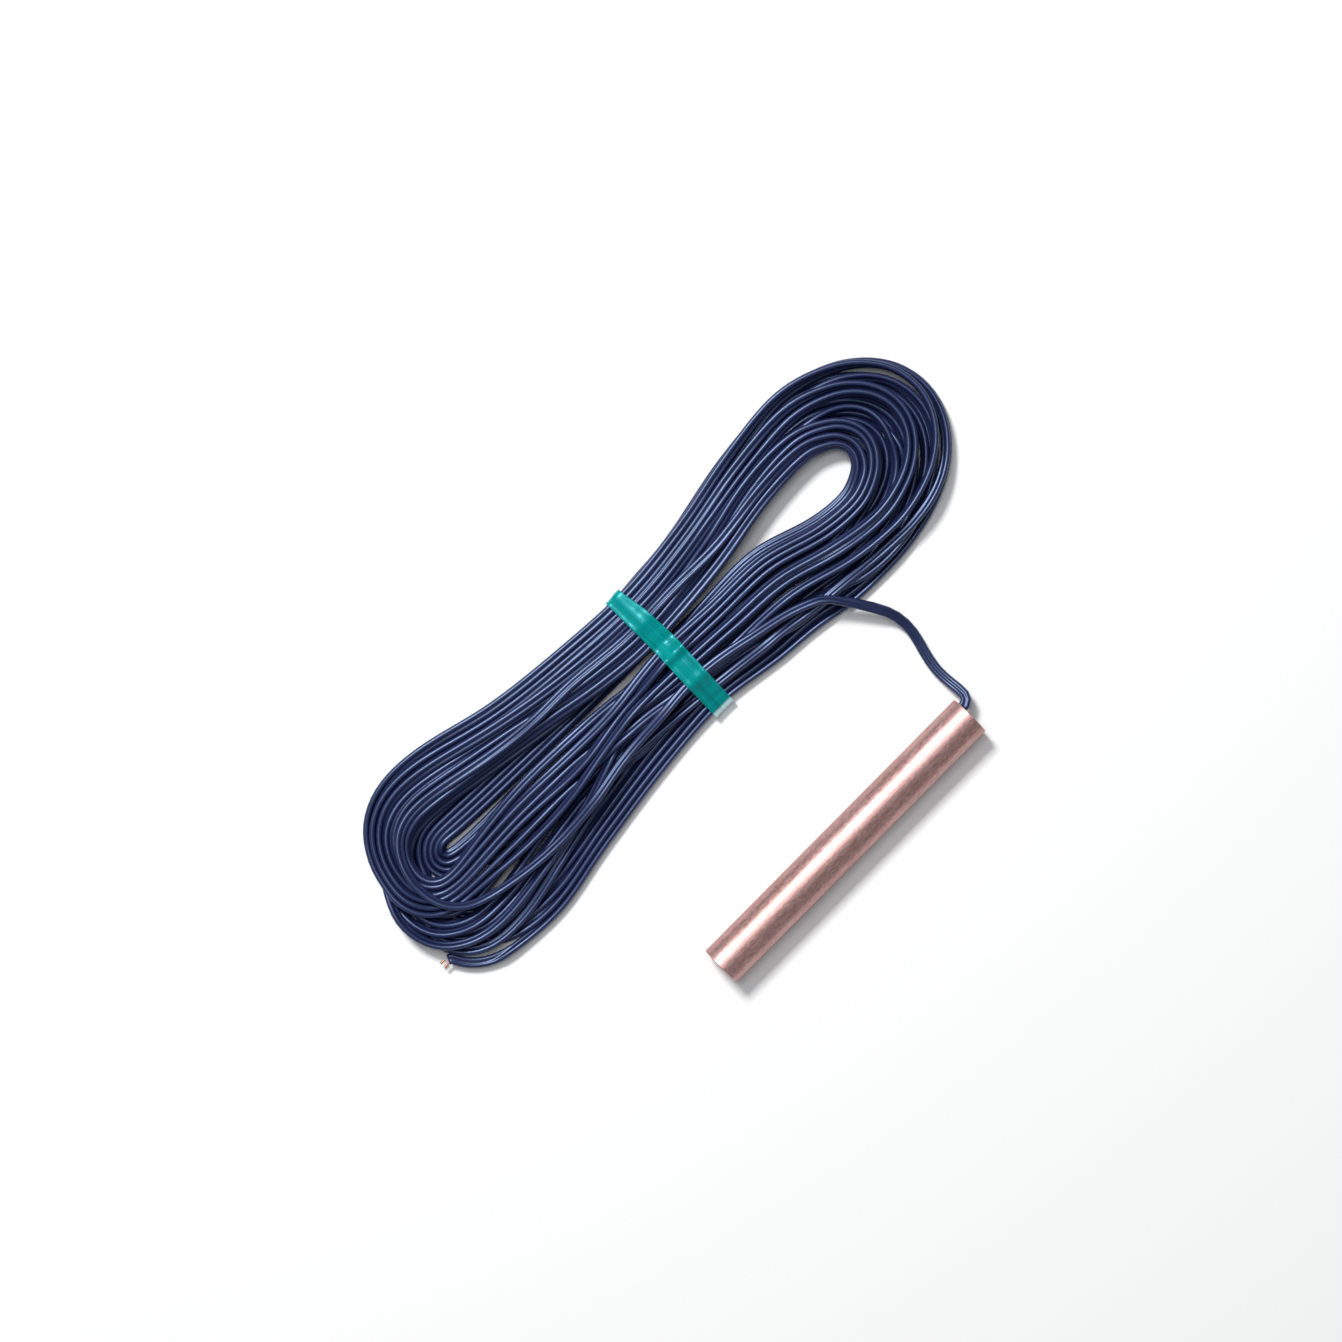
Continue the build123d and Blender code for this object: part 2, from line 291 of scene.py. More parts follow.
@dataclass(frozen=True)
class TieFilm:
    """Teal plastic film, drawn into lengthwise streaks, with a painted highlight that makes it paler where
    it folds down at the low side.
    """

    name: str = "teal film"
    colour: Colour = (0.0, 0.200, 0.200)
    streak: Colour = (0.0, 0.340, 0.335)
    # Colour of the painted highlight along the low-side fold.
    painted_fold_highlight: Colour = (0.62, 0.82, 0.86)
    sheen: Colour = (0.25, 0.85, 1.0)
    roughness: float = 0.27
    # Y range, in metres, over which the painted highlight fades in towards the low-side fold.
    fold: tuple[float, float] = (0.0529, 0.0521)
    line: str = "along"

    def build(self) -> bpy.types.Material:
        """Returns the material."""
        surface = Surface(self.name)
        streaks = surface.noise((5, 9, 1), detail=4, roughness=0.7, uv=self.line)
        fine = surface.noise((14, 42, 1), detail=3, uv=self.line)
        grain = surface.noise((1400, 1400, 1400), detail=2)
        drawn = surface.mix(surface.level(streaks, 0.35, 0.68), self.colour, self.streak)
        # Painted highlight: the film turns paler towards the low side, where it folds under.
        fold_highlight_mask = surface.level(surface.position("Y"), *self.fold) * (0.5 + streaks)
        surface.feed("Base Color", surface.mix(fold_highlight_mask.clamped(), drawn, self.painted_fold_highlight))
        surface.feed("Roughness", self.roughness + (fine - 0.5) * 0.16)
        surface.constants(Specular_IOR_Level=0.5, Specular_Tint=self.sheen)
        surface.bump(streaks * 0.5 + fine * 0.4 + grain * 0.1, 0.25, 0.00010)
        return surface.material


@dataclass(frozen=True)
class Resin:
    """Cast or moulded plastic with a fine grain and soft clouding."""

    name: str
    colour: Colour
    roughness: float = 0.5
    metallic: float = 0.0
    fleck: float = 0.25

    def build(self) -> bpy.types.Material:
        """Returns the material."""
        surface = Surface(self.name)
        cloud = surface.noise((260, 260, 260), detail=4)
        grain = surface.noise((1900, 1900, 1900), detail=2)
        darker = tuple(part * (1 - self.fleck) for part in self.colour)
        surface.feed("Base Color", surface.mix(surface.level(cloud, 0.3, 0.7), darker, self.colour))
        surface.feed("Roughness", self.roughness + (grain - 0.5) * 0.2)
        surface.constants(Metallic=self.metallic)
        surface.bump(cloud * 0.4 + grain * 0.6, 0.3, 0.00005)
        return surface.material


@dataclass(frozen=True)
class StudioPaper:
    """Seamless white paper for the floor."""

    name: str = "studio paper"
    colour: Colour = (0.965, 0.970, 0.970)
    darker: float = 0.985

    def build(self) -> bpy.types.Material:
        """Returns the material."""
        surface = Surface(self.name)
        fibre = surface.noise((900, 900, 900), detail=3)
        shaded = tuple(part * self.darker for part in self.colour)
        surface.feed("Base Color", surface.mix(fibre, shaded, self.colour))
        surface.feed("Roughness", 0.85 + (fibre - 0.5) * 0.1)
        surface.constants(Specular_IOR_Level=0.2)
        return surface.material


class Finish(Enum):
    """The finishes of the object, one for each of the record's slots."""

    COPPER_TUBE = DrawnCopper()
    COPPER_DISC = DrawnCopper("dull copper disc", (0.60, 0.38, 0.31), (0.44, 0.26, 0.21), roughness=0.42)
    INSULATION = Vinyl()
    INSULATION_INSIDE = Resin("navy insulation inside", (0.02, 0.024, 0.07), 0.35)
    TIE = TieFilm()
    CORE = Resin("bare core copper", (0.80, 0.46, 0.32), 0.3, 1.0)
    TINNED = Resin("tinned wire", (0.72, 0.72, 0.71), 0.3, 1.0)
    CRIMP = Resin("tinned brass crimp", (0.70, 0.60, 0.38), 0.35, 1.0)
    SHRINK = Resin("black shrink sleeve", (0.02, 0.02, 0.02), 0.5)
    LEG_SLEEVE = Resin("white sleeving", (0.78, 0.77, 0.73), 0.45)
    BEAD = Resin("bead coating", (0.03, 0.03, 0.035), 0.2)
    FILLER = Resin("grey filled resin", (0.45, 0.45, 0.43), 0.6)
    POTTING = Resin("black potting resin", (0.02, 0.02, 0.021), 0.35)
    SEAL = Resin("soft black sealant", (0.018, 0.018, 0.02), 0.45)
    FERRULE = Resin("crimped aluminium", (0.72, 0.72, 0.73), 0.4, 1.0)

    def material(self) -> bpy.types.Material:
        """Returns the finish's material, made on its first use."""
        return bpy.data.materials.get(self.value.name) or self.value.build()


NODES_OF_FINISH = {
    Finish.COPPER_TUBE: ("copper_sheath",),
    Finish.COPPER_DISC: ("tip_disc",),
    Finish.FILLER: ("thermal_filler",),
    Finish.BEAD: ("thermistor_bead",),
    Finish.TINNED: ("thermistor_leg_a", "thermistor_leg_b"),
    Finish.LEG_SLEEVE: ("leg_sleeve_a", "leg_sleeve_b"),
    Finish.CRIMP: ("splice_crimp_a", "splice_crimp_b"),
    Finish.SHRINK: ("splice_sleeve_a", "splice_sleeve_b"),
    Finish.CORE: ("conductor_a", "conductor_b", "far_tail_a", "far_tail_b"),
    Finish.INSULATION_INSIDE: ("lead_inner",),
    Finish.FERRULE: ("retaining_ferrule",),
    Finish.POTTING: ("potting_compound",),
    Finish.SEAL: ("mouth_seal",),
}


# ---- Helpers on meshes and lines ----


def show(piece: bpy.types.Object, finish: Finish) -> None:
    """Links a finished piece to the scene and gives it its material."""
    if piece.name not in bpy.context.scene.collection.objects:
        bpy.context.scene.collection.objects.link(piece)
    piece.data.materials.clear()
    piece.data.materials.append(finish.material())


def smooth_line(points: np.ndarray, resolution: int) -> np.ndarray:
    """Reads points along the NURBS line that has the given control points.

    Args:
        points: the control points, in metres.
        resolution: points made for each control point.

    Returns:
        The points of the smooth line, in order.
    """
    curve = bpy.data.curves.new("line", "CURVE")
    curve.dimensions = "3D"
    spline = curve.splines.new("NURBS")
    spline.points.add(len(points) - 1)
    spline.points.foreach_set("co", np.column_stack([points, np.ones(len(points))]).ravel())
    spline.order_u = 3
    spline.use_endpoint_u = True
    spline.resolution_u = resolution
    holder = bpy.data.objects.new("line", curve)
    mesh = bpy.data.meshes.new_from_object(holder)
    line = np.empty(len(mesh.vertices) * 3)
    mesh.vertices.foreach_get("co", line)
    bpy.data.objects.remove(holder)
    bpy.data.curves.remove(curve)
    bpy.data.meshes.remove(mesh)
    return line.reshape(-1, 3)


def unit(vectors: np.ndarray) -> np.ndarray:
    """Returns vectors scaled to length one."""
    return vectors / np.linalg.norm(vectors, axis=-1, keepdims=True)


def bend_of(values: np.ndarray) -> np.ndarray:
    """Returns how far each entry of a chain lies from the middle of its two neighbours, times two."""
    bend = np.zeros_like(values)
    bend[1:-1] = values[:-2] + values[2:] - 2 * values[1:-1]
    return bend


# ---- The lead's section, its free stretch and its hank ----


@dataclass(frozen=True)
class LeadSection:
    """The flat two-core lead's section, in millimetres."""

    core_pitch: float = 1.5
    lobe_diameter: float = 1.7
    lobe_points: int = 8

    @property
    def width(self) -> float:
        """The flat width over both lobes."""
        return self.core_pitch + self.lobe_diameter

    def outline(self) -> np.ndarray:
        """Returns the section's outline as (across, up) points: two round lobes that meet in a notch."""
        radius = self.lobe_diameter / 2
        half = self.core_pitch / 2
        notch = math.pi - math.acos(half / radius)
        points = []
        for centre, facing in ((half, 0.0), (-half, math.pi)):
            for step in range(self.lobe_points + 1):
                angle = facing - notch + 2 * notch * step / (self.lobe_points + 1)
                points.append((centre + radius * math.cos(angle), radius * math.sin(angle)))
        return np.array(points)


@dataclass(frozen=True)
class TurnGroup:
    """Some turns that were wound one after another and lie alike.

    height is where the group comes to rest when nothing holds it higher, in millimetres, and
    end_lean how far the flat lead stands up as it goes round the hank's ends, in degrees. low and
    high are the band that the group takes up at each phase of a turn, as shares of the way from
    the hank's inner edge to its outer edge.
    """

    turns: int
    height: float
    end_lean: float
    low: tuple[float, ...]
    high: tuple[float, ...]


PHASES = (0.00, 0.12, 0.25, 0.38, 0.50, 0.60, 0.66, 0.70, 0.73, 0.76, 0.78, 0.80, 0.84, 0.90)
GROUPS = (
    TurnGroup(
        4,
        1.0,
        36.0,
        (0.98, 1.00, 1.00, 0.85, 0.60, 0.45, 0.44, 0.52, 0.60, 0.76, 0.88, 0.92, 0.96, 1.00),
        (0.80, 0.66, 0.46, 0.36, 0.36, 0.30, 0.28, 0.30, 0.32, 0.42, 0.58, 0.68, 0.70, 0.78),
    ),
    TurnGroup(
        4,
        0.9,
        52.0,
        (0.00, 0.00, 0.08, 0.08, 0.00, 0.00, 0.00, 0.02, 0.05, 0.07, 0.07, 0.05, 0.02, 0.00),
        (0.40, 0.40, 0.50, 0.40, 0.30, 0.28, 0.26, 0.24, 0.24, 0.24, 0.24, 0.26, 0.46, 0.46),
    ),
    TurnGroup(
        3,
        2.0,
        40.0,
        (0.50, 0.36, 0.20, 0.16, 0.10, 0.30, 0.35, 0.46, 0.56, 0.70, 0.88, 0.80, 0.48, 0.46),
        (0.95, 0.95, 0.90, 0.80, 0.80, 0.70, 0.56, 0.62, 0.74, 0.90, 1.01, 1.00, 0.88, 0.84),
    ),
    TurnGroup(
        4,
        4.2,
        60.0,
        (0.28, 0.26, 0.15, 0.06, 0.15, 0.40, 0.45, 0.52, 0.60, 0.76, 0.62, 0.40, 0.26, 0.24),
        (0.80, 0.85, 1.00, 0.90, 0.94, 0.94, 0.90, 0.88, 0.90, 1.01, 0.95, 0.78, 0.70, 0.70),
    ),
    TurnGroup(
        7,
        7.6,
        74.0,
        (0.00, 0.02, 0.02, 0.00, 0.08, 0.38, 0.45, 0.64, 0.62, 0.32, 0.16, 0.08, 0.02, 0.00),
        (0.60, 0.70, 0.94, 1.00, 1.00, 1.00, 1.02, 1.05, 1.00, 0.70, 0.50, 0.42, 0.48, 0.50),
    ),
)

# Pairs of points on the hank's inner and outer edge, anticlockwise from the middle of its lower
# waist, in millimetres.
EDGES = (
    ((3, 78.0), (3, 52.6)),
    ((20, 78.2), (20, 50.2)),
    ((40, 78.2), (40, 47.2)),
    ((58, 72.8), (60, 45.6)),
    ((69, 71.4), (77, 46.6)),
    ((75, 73.0), (93, 51.4)),
    ((78, 75.2), (107, 61.3)),
    ((79.2, 77.8), (112.6, 76.0)),
    ((78.6, 80.4), (108.6, 90.0)),
    ((76, 82.6), (94.6, 101.0)),
    ((69, 84.6), (74, 106.6)),
    ((52, 83.8), (52, 103.8)),
    ((30, 80.2), (30, 100.2)),
    ((3, 78.2), (3, 96.4)),
    ((-20, 78.1), (-20, 98.4)),
    ((-45, 78.8), (-45, 100.8)),
    ((-64, 79.4), (-64, 105.6)),
    ((-76, 80.0), (-80, 107.9)),
    ((-80.5, 80.6), (-94, 102.2)),
    ((-82.2, 80.6), (-102.6, 90.0)),
    ((-82.6, 80.4), (-103.4, 84.5)),
    ((-82.7, 80.2), (-107.0, 78.5)),
    ((-82.3, 80.0), (-109.0, 69.0)),
    ((-81.2, 79.9), (-106.6, 58.0)),
    ((-76, 79.9), (-97.4, 46.8)),
    ((-62, 79.3), (-78, 42.8)),
    ((-42, 78.6), (-50, 47.2)),
    ((-20, 78.1), (-22, 51.0)),
)

# The last turn's place across the hank as it comes up to the free stretch: turns before or after
# the middle of the lower waist, and the share of the way across.
LEAVING = (
    (-0.240, 0.55),
    (-0.200, 0.50),
    (-0.160, 0.58),
    (-0.115, 0.66),
    (-0.085, 0.61),
    (-0.060, 0.53),
    (-0.030, 0.54),
    (0.000, 0.585),
    (0.037, 0.605),
    (0.060, 0.635),
    (0.081, 0.70),
    (0.092, 0.82),
    (0.102, 0.98),
)


@dataclass(frozen=True)
class Spell:
    """One spell of settling: its steps, and how hard the turns are pulled and smoothed in it.

    weight pulls a turn down to its resting height and draw pulls it to its place across the hank.
    ease and stiffness smooth it along its length.
    """

    steps: int
    weight: float
    draw: float
    ease: float
    stiffness: float


def spread(values: Sequence[float]) -> np.ndarray:
    """Repeats one value for each group over the group's turns."""
    return np.repeat(values, [group.turns for group in GROUPS])


def swell(values: np.ndarray, middle: float, reach: float) -> np.ndarray:
    """Returns a smooth swell that is 1 at its middle and fades out beyond its reach."""
    return np.exp(-(((values - middle) / reach) ** 2))


@dataclass
class HankWinding:
    """Winds the lead into a hank and settles its turns on the surface and on each other.

    Every turn crosses the same cross-planes. In each plane the flat sections are pushed apart
    where they meet, pulled down by their weight and drawn towards their place across the hank,
    while along the lead they stay smooth.
    """

    section: LeadSection
    stations: int = 108
    seed: int = 1
    # Where the lead starts and stops within its first and last turn.
    start_phase: float = 0.81
    end_phase: float = 0.10
    # Where the far end is held: its share of the way across and its height.
    end_share: float = 0.955
    end_height: float = 2.2
    # Turns that go by while the lead is laid from one side of its group's band to the other.
    layer_cycle: float = 2.8
    share_scatter: float = 0.10
    share_ease: float = 0.25
    share_smoothing: int = 7
    margin: float = 0.9
    # How far the flat lead leans up: on the straights, at the lower waist and in the hollow.
    straight_lean: float = 10.0
    low_lean: float = 42.0
    hollow_lean: float = 55.0
    lean_scatter: float = 0.35
    lean_spacing: int = 18
    end_phases: tuple[float, float] = (0.25, 0.77)
    end_reach: float = 0.10
    waist_reach: float = 0.12
    # The height of the first turn and the rise of each turn before they settle.
    lowest: float = 1.2
    lift: float = 2.8
    # The tie that the waist rests on.
    tie_floor: float = 0.45
    tie_x: float = 3.0
    tie_reach: float = 9.0
    spells: tuple[Spell, ...] = (
        Spell(750, 0.04, 0.02, 0.03, 0.05),
        Spell(230, 0.02, 0.006, 0.015, 0.03),
        Spell(120, 0.0, 0.0, 0.002, 0.008),
    )
    # The least and the most height over its resting height that a turn feels as weight.
    least_fall: float = -0.5
    most_fall: float = 2.0
    lean_ease: float = 0.22
    lean_draw: float = 0.02
    search_every: int = 8
    search_reach: float = 1.2
    crowding: float = 0.45
    push_share: float = 1.1
    turn_share: float = 0.8

    def edges(self) -> tuple[np.ndarray, np.ndarray, np.ndarray]:
        """Spaces the cross-planes evenly round the hank.

        Returns:
            The inner points, the outer points and the phase of each plane.
        """
        pairs = np.array(EDGES, float).reshape(len(EDGES), 4)
        middle = (pairs[:, :2] + pairs[:, 2:]) / 2
        gaps = np.linalg.norm(np.roll(middle, -1, axis=0) - middle, axis=1)
        gaps += np.linalg.norm(np.roll(pairs[:, 2:], -1, axis=0) - pairs[:, 2:], axis=1)
        knots = np.concatenate([[0], np.cumsum(gaps)]) / gaps.sum()
        count = len(pairs)
        around = np.concatenate([knots[:-1] - 1, knots[:-1], knots[:-1] + 1])
        repeated = np.tile(pairs, (3, 1))
        slopes = (repeated[2:] - repeated[:-2]) / (around[2:] - around[:-2])[:, None]
        phases = np.arange(self.stations) / self.stations
        spans = np.searchsorted(knots, phases, side="right") - 1
        here = spans + count
        step = (around[here + 1] - around[here])[:, None]
        share = ((phases - knots[spans]) / step[:, 0])[:, None]
        start, end = repeated[here], repeated[here + 1]
        slope_in, slope_out = slopes[here - 1] * step, slopes[here] * step
        placed = (2 * share**3 - 3 * share**2 + 1) * start + (share**3 - 2 * share**2 + share) * slope_in
        placed += (3 * share**2 - 2 * share**3) * end + (share**3 - share**2) * slope_out
        return placed[:, :2], placed[:, 2:], phases

    def shares(self, progress: np.ndarray, rng: np.random.Generator) -> np.ndarray:
        """Returns the place across the hank that each node of the lead is drawn to."""
        phases = np.array(PHASES)
        rows = []
        for group in GROUPS:
            low, high = np.array(group.low), np.array(group.high)
            for turn in range(group.turns):
                swing = (turn / self.layer_cycle) % 2.0
                swing = min(swing, 2.0 - swing)
                level = np.clip(swing + rng.normal(0, self.share_scatter, len(phases)), 0, 1)
                rows.append(low + level * (high - low))
        rows = np.array([rows[0], *rows, rows[-1]])
        turns = np.arange(-1, len(rows) - 1)
        share = np.interp(progress, (turns[:, None] + phases).ravel(), rows.ravel())
        for _ in range(self.share_smoothing):
            share += self.share_ease * bend_of(share)
        return np.clip(share, 0, 1)

    def wind(self) -> tuple[np.ndarray, np.ndarray]:
        """Winds and settles the hank.

        Returns:
            The middle of the lead at each node, from the far end on, and its side direction.
        """
        rng = np.random.default_rng(self.seed)
        inner, outer, phases = self.edges()
        widths = np.linalg.norm(outer - inner, axis=1)
        turns = sum(group.turns for group in GROUPS)
        start = round(self.start_phase * self.stations)
        before = self.stations - start
        count = before + turns * self.stations + round(self.end_phase * self.stations)
        nodes = np.arange(count)
        station = (start + nodes) % self.stations
        phase = phases[station]
        progress = (nodes - before) / self.stations
        share = self.shares(progress, rng)
        leaving = progress > turns + LEAVING[0][0]
        share[leaving] = np.interp(progress[leaving] - turns, *np.array(LEAVING).T)
        width = widths[station]
        drawn_to = self.margin + share * (width - 2 * self.margin)
        lean = self._wanted_lean(phase, progress, rng)
        place = np.column_stack([drawn_to, self.lowest + self.lift * np.maximum(progress + 1, 0)])
        rest = self._by_turn(progress, [group.height for group in GROUPS])
        across = (outer - inner) / widths[:, None]
        floor = self.tie_floor * swell((inner + outer)[station, 0] / 2, self.tie_x, self.tie_reach)
        place, lean = self._settle(place, lean, drawn_to, rest, station, width, floor)
        flat = inner[station] + place[:, :1] * across[station]
        middle = np.column_stack([flat, place[:, 1]])
        side = np.column_stack([across[station] * np.cos(lean)[:, None], np.sin(lean)])
        return middle, side

    @staticmethod
    def _by_turn(progress: np.ndarray, values: Sequence[float]) -> np.ndarray:
        """Reads one value for each group along the lead, blended from turn to turn."""
        spread_values = spread(values)
        return np.interp(progress, np.arange(len(spread_values)) + 0.5, spread_values)

    def _wanted_lean(
        self, phase: np.ndarray, progress: np.ndarray, rng: np.random.Generator
    ) -> np.ndarray:
        """Returns how far each section is meant to lean up from flat, in radians."""
        count = len(phase)
        at_ends = sum(swell(phase, middle, self.end_reach) for middle in self.end_phases)
        scatter = rng.normal(0, self.lean_scatter, count // self.lean_spacing + 3)
        at_low_waist = swell(np.minimum(phase, 1 - phase), 0.0, self.waist_reach)
        end_lean = self._by_turn(progress, [group.end_lean for group in GROUPS])
        lean = self.straight_lean + end_lean * np.clip(at_ends, 0, 1) + self.low_lean * at_low_waist
        first = GROUPS[0].turns
        in_hollow = (progress > first) & (progress < first + GROUPS[1].turns) & (phase > 0.5)
        lean = np.radians(np.where(in_hollow, self.hollow_lean, lean))
        return lean + np.interp(np.arange(count), np.arange(len(scatter)) * self.lean_spacing, scatter)

    def _sharing(self, station: np.ndarray) -> tuple[np.ndarray, np.ndarray]:
        """Returns every pair of nodes that share a cross-plane."""
        pairs = []
        for plane in range(self.stations):
            rows = np.flatnonzero(station == plane)
            pairs.append(rows[np.stack(np.triu_indices(len(rows), 1))])
        pair_a, pair_b = np.concatenate(pairs, axis=1)
        return pair_a, pair_b

    def _pushes(
        self, discs: np.ndarray, first: np.ndarray, second: np.ndarray
    ) -> tuple[np.ndarray, np.ndarray]:
        """Works out how discs that meet push each other apart.

        Args:
            discs: the middles of all the discs, three to a node.
            first: one disc of each pair that may meet.
            second: the other disc of each pair.

        Returns:
            The push on each node's three discs, and how many meetings it is shared between.
        """
        size = self.section.lobe_diameter
        total = len(discs)
        apart = discs[first] - discs[second]
        distance = np.sqrt((apart**2).sum(1)) + 1e-9
        hit = distance < size
        push = apart[hit] * (0.5 * (size - distance[hit]) / distance[hit])[:, None]
        hit_a, hit_b = first[hit], second[hit]
        force = np.empty((total, 2))
        for axis in range(2):
            force[:, axis] = np.bincount(hit_a, push[:, axis], total)
            force[:, axis] -= np.bincount(hit_b, push[:, axis], total)
        touching = np.bincount(hit_a, minlength=total) + np.bincount(hit_b, minlength=total)
        shared = 1 + self.crowding * np.maximum(touching.reshape(-1, 3).sum(1) - 1, 0)
        return force.reshape(-1, 3, 2), shared

    def _settle(
        self,
        place: np.ndarray,
        lean: np.ndarray,
        drawn_to: np.ndarray,
        rest: np.ndarray,
        station: np.ndarray,
        width: np.ndarray,
        floor: np.ndarray,
    ) -> tuple[np.ndarray, np.ndarray]:
        """Lets the turns sink and push each other apart until they lie at rest.

        Args:
            place: across and up for each node, changed in place.
            lean: how far each section leans from flat and is meant to, in radians.
            drawn_to: the place across that each node is drawn to.
            rest: the height that each node sinks to.
            station: each node's cross-plane.
            width: the hank's width at each node.
            floor: the height of what each node may rest on.

        Returns:
            The settled places and leans.
        """
        pitch = self.section.core_pitch
        size = self.section.lobe_diameter
        offsets = np.array([-0.5, 0.0, 0.5]) * pitch
        near_enough = (pitch + size + self.search_reach) ** 2
        held = np.array([width[0] * self.end_share, self.end_height])
        wanted_lean = lean.copy()
        pair_a, pair_b = self._sharing(station)
        disc_a = np.repeat(np.arange(3), 3)
        disc_b = np.tile(np.arange(3), 3)
        for step, spell in enumerate(spell for spell in self.spells for _ in range(spell.steps)):
            place[:, 1] -= spell.weight * np.clip(place[:, 1] - rest, self.least_fall, self.most_fall)
            place[:, 0] += spell.draw * (drawn_to - place[:, 0])
            bend = bend_of(place)
            place += spell.ease * bend - spell.stiffness * bend_of(bend)
            lean += self.lean_ease * bend_of(lean) + self.lean_draw * (wanted_lean - lean)
            facing = np.column_stack([np.cos(lean), np.sin(lean)])
            discs = (place[:, None] + offsets[None, :, None] * facing[:, None]).reshape(-1, 2)
            if step % self.search_every == 0:
                gap = place[pair_a] - place[pair_b]
                near = (gap**2).sum(1) < near_enough
                first = (pair_a[near][:, None] * 3 + disc_a).ravel()
                second = (pair_b[near][:, None] * 3 + disc_b).ravel()
            force, shared = self._pushes(discs, first, second)
            place += self.push_share * force.sum(1) / shared[:, None]
            turning = facing[:, :1] * force[:, :, 1] - facing[:, 1:] * force[:, :, 0]
            lean += self.turn_share * (offsets * turning).sum(1) / shared
            rise = np.abs(np.sin(lean)) * pitch / 2
            place[:, 1] = np.maximum(place[:, 1], floor + size / 2 + rise)
            reach = np.abs(np.cos(lean)) * pitch / 2 + size / 2
            place[:, 0] = np.clip(place[:, 0], reach, width - reach)
            place[0] = held
        return place, lean


@dataclass
class Lead:
    """The whole lead as one piece: its free stretch and its hank."""

    section: LeadSection
    winding: HankWinding
    # The free stretch from the mouth seal to the hank's edge, in millimetres.
    free_route: tuple[tuple[float, float, float], ...] = (
        (49.8, 3.0, 6.35),
        (52.2, 3.0, 6.35),
        (54.3, 4.9, 5.6),
        (53.8, 10.2, 3.1),
        (53.5, 15.8, 1.9),
        (54.8, 22.0, 1.65),
        (56.8, 28.4, 2.0),
        (56.6, 35.0, 3.7),
        (53.8, 41.0, 6.4),
    )
    # The last stretch of the lead, up to its cut end, in millimetres.
    far_route: tuple[tuple[float, float, float], ...] = (
        (-95.8, 47.7, 2.3),
        (-99.6, 50.1, 2.4),
        (-102.4, 53.2, 2.6),
        (-103.6, 55.6, 2.9),
        (-104.2, 56.8, 3.0),
        (-105.0, 57.0, 3.0),
    )
    ring_resolution: int = 2

    def build(self) -> bpy.types.Object:
        """Returns:
            The lead.
        """
        free, far = np.array(self.free_route), np.array(self.far_route)
        wound, wound_side = self.winding.wind()
        controls = np.vstack([free, wound[::-1], far]) * MM
        sides = np.vstack([self._flat_side(free), wound_side[::-1], self._flat_side(far)])
        self.wound, self.wound_side = wound, wound_side
        self.line = smooth_line(controls, self.ring_resolution)
        rail = smooth_line(controls + sides * MM, self.ring_resolution)
        piece = self._tube(rail - self.line)
        show(piece, Finish.INSULATION)
        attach(piece, ROOT)
        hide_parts("lead_free", "lead_hank")
        self.length = float(np.linalg.norm(np.diff(self.line, axis=0), axis=1).sum())
        LOG.info("lead: %.2f m in %d rings", self.length, len(self.line))
        return piece

    @staticmethod
    def _flat_side(route: np.ndarray) -> np.ndarray:
        """Returns the level direction to the left of a route at each of its points."""
        ahead = np.gradient(route, axis=0)
        return unit(np.column_stack([-ahead[:, 1], ahead[:, 0], np.zeros(len(route))]))

    def _tube(self, sides: np.ndarray) -> bpy.types.Object:
        """Skins the lead's section along its line.

        Args:
            sides: the direction across the lead at each point of the line.

        Returns:
            The lead's object, not yet linked to a scene.
        """
        ahead = unit(np.gradient(self.line, axis=0))
        sides = unit(sides - (sides * ahead).sum(1)[:, None] * ahead)
        up = np.cross(ahead, sides)
        outline = self.section.outline() * MM
        around = len(outline)
        rings = self.line[:, None] + outline[None, :, :1] * sides[:, None]
        rings = rings + outline[None, :, 1:] * up[:, None]
        count = len(self.line)
        row = np.arange(count - 1)[:, None] * around
        here = np.arange(around)[None]
        following = (here + 1) % around
        quads = np.stack(
            [row + here, row + following, row + around + following, row + around + here], axis=-1
        )
        caps = [list(range(around - 1, -1, -1)), list(range((count - 1) * around, count * around))]
        mesh = bpy.data.meshes.new("lead")
        mesh.from_pydata(rings.reshape(-1, 3).tolist(), [], quads.reshape(-1, 4).tolist() + caps)
        along = np.concatenate([[0], np.cumsum(np.linalg.norm(np.diff(self.line, axis=0), axis=1))])
        self._unwrap(mesh, along, around)
        mesh.shade_smooth()
        return bpy.data.objects.new("lead", mesh)

    @staticmethod
    def _unwrap(mesh: bpy.types.Mesh, along: np.ndarray, around: int) -> None:
        """Adds a UV map whose first axis is decimetres along the lead and whose second goes round it."""
        corners = np.empty(len(mesh.loops), int)
        mesh.loops.foreach_get("vertex_index", corners)
        ring, spot = corners // around, corners % around
        quad_corners = 4 * (len(along) - 1) * around
        upper = np.zeros(len(corners), int)
        lasts = np.arange(0, quad_corners, 4)
        wraps = (spot[lasts + 1] == 0) & (spot[lasts] == around - 1)
        for corner in (1, 2):
            upper[lasts[wraps] + corner] = around
        uv = np.column_stack([along[ring] * 10, (spot + upper) / around])
        mesh.uv_layers.new(name="along").data.foreach_set("uv", uv.ravel())


# ---- The tie ----


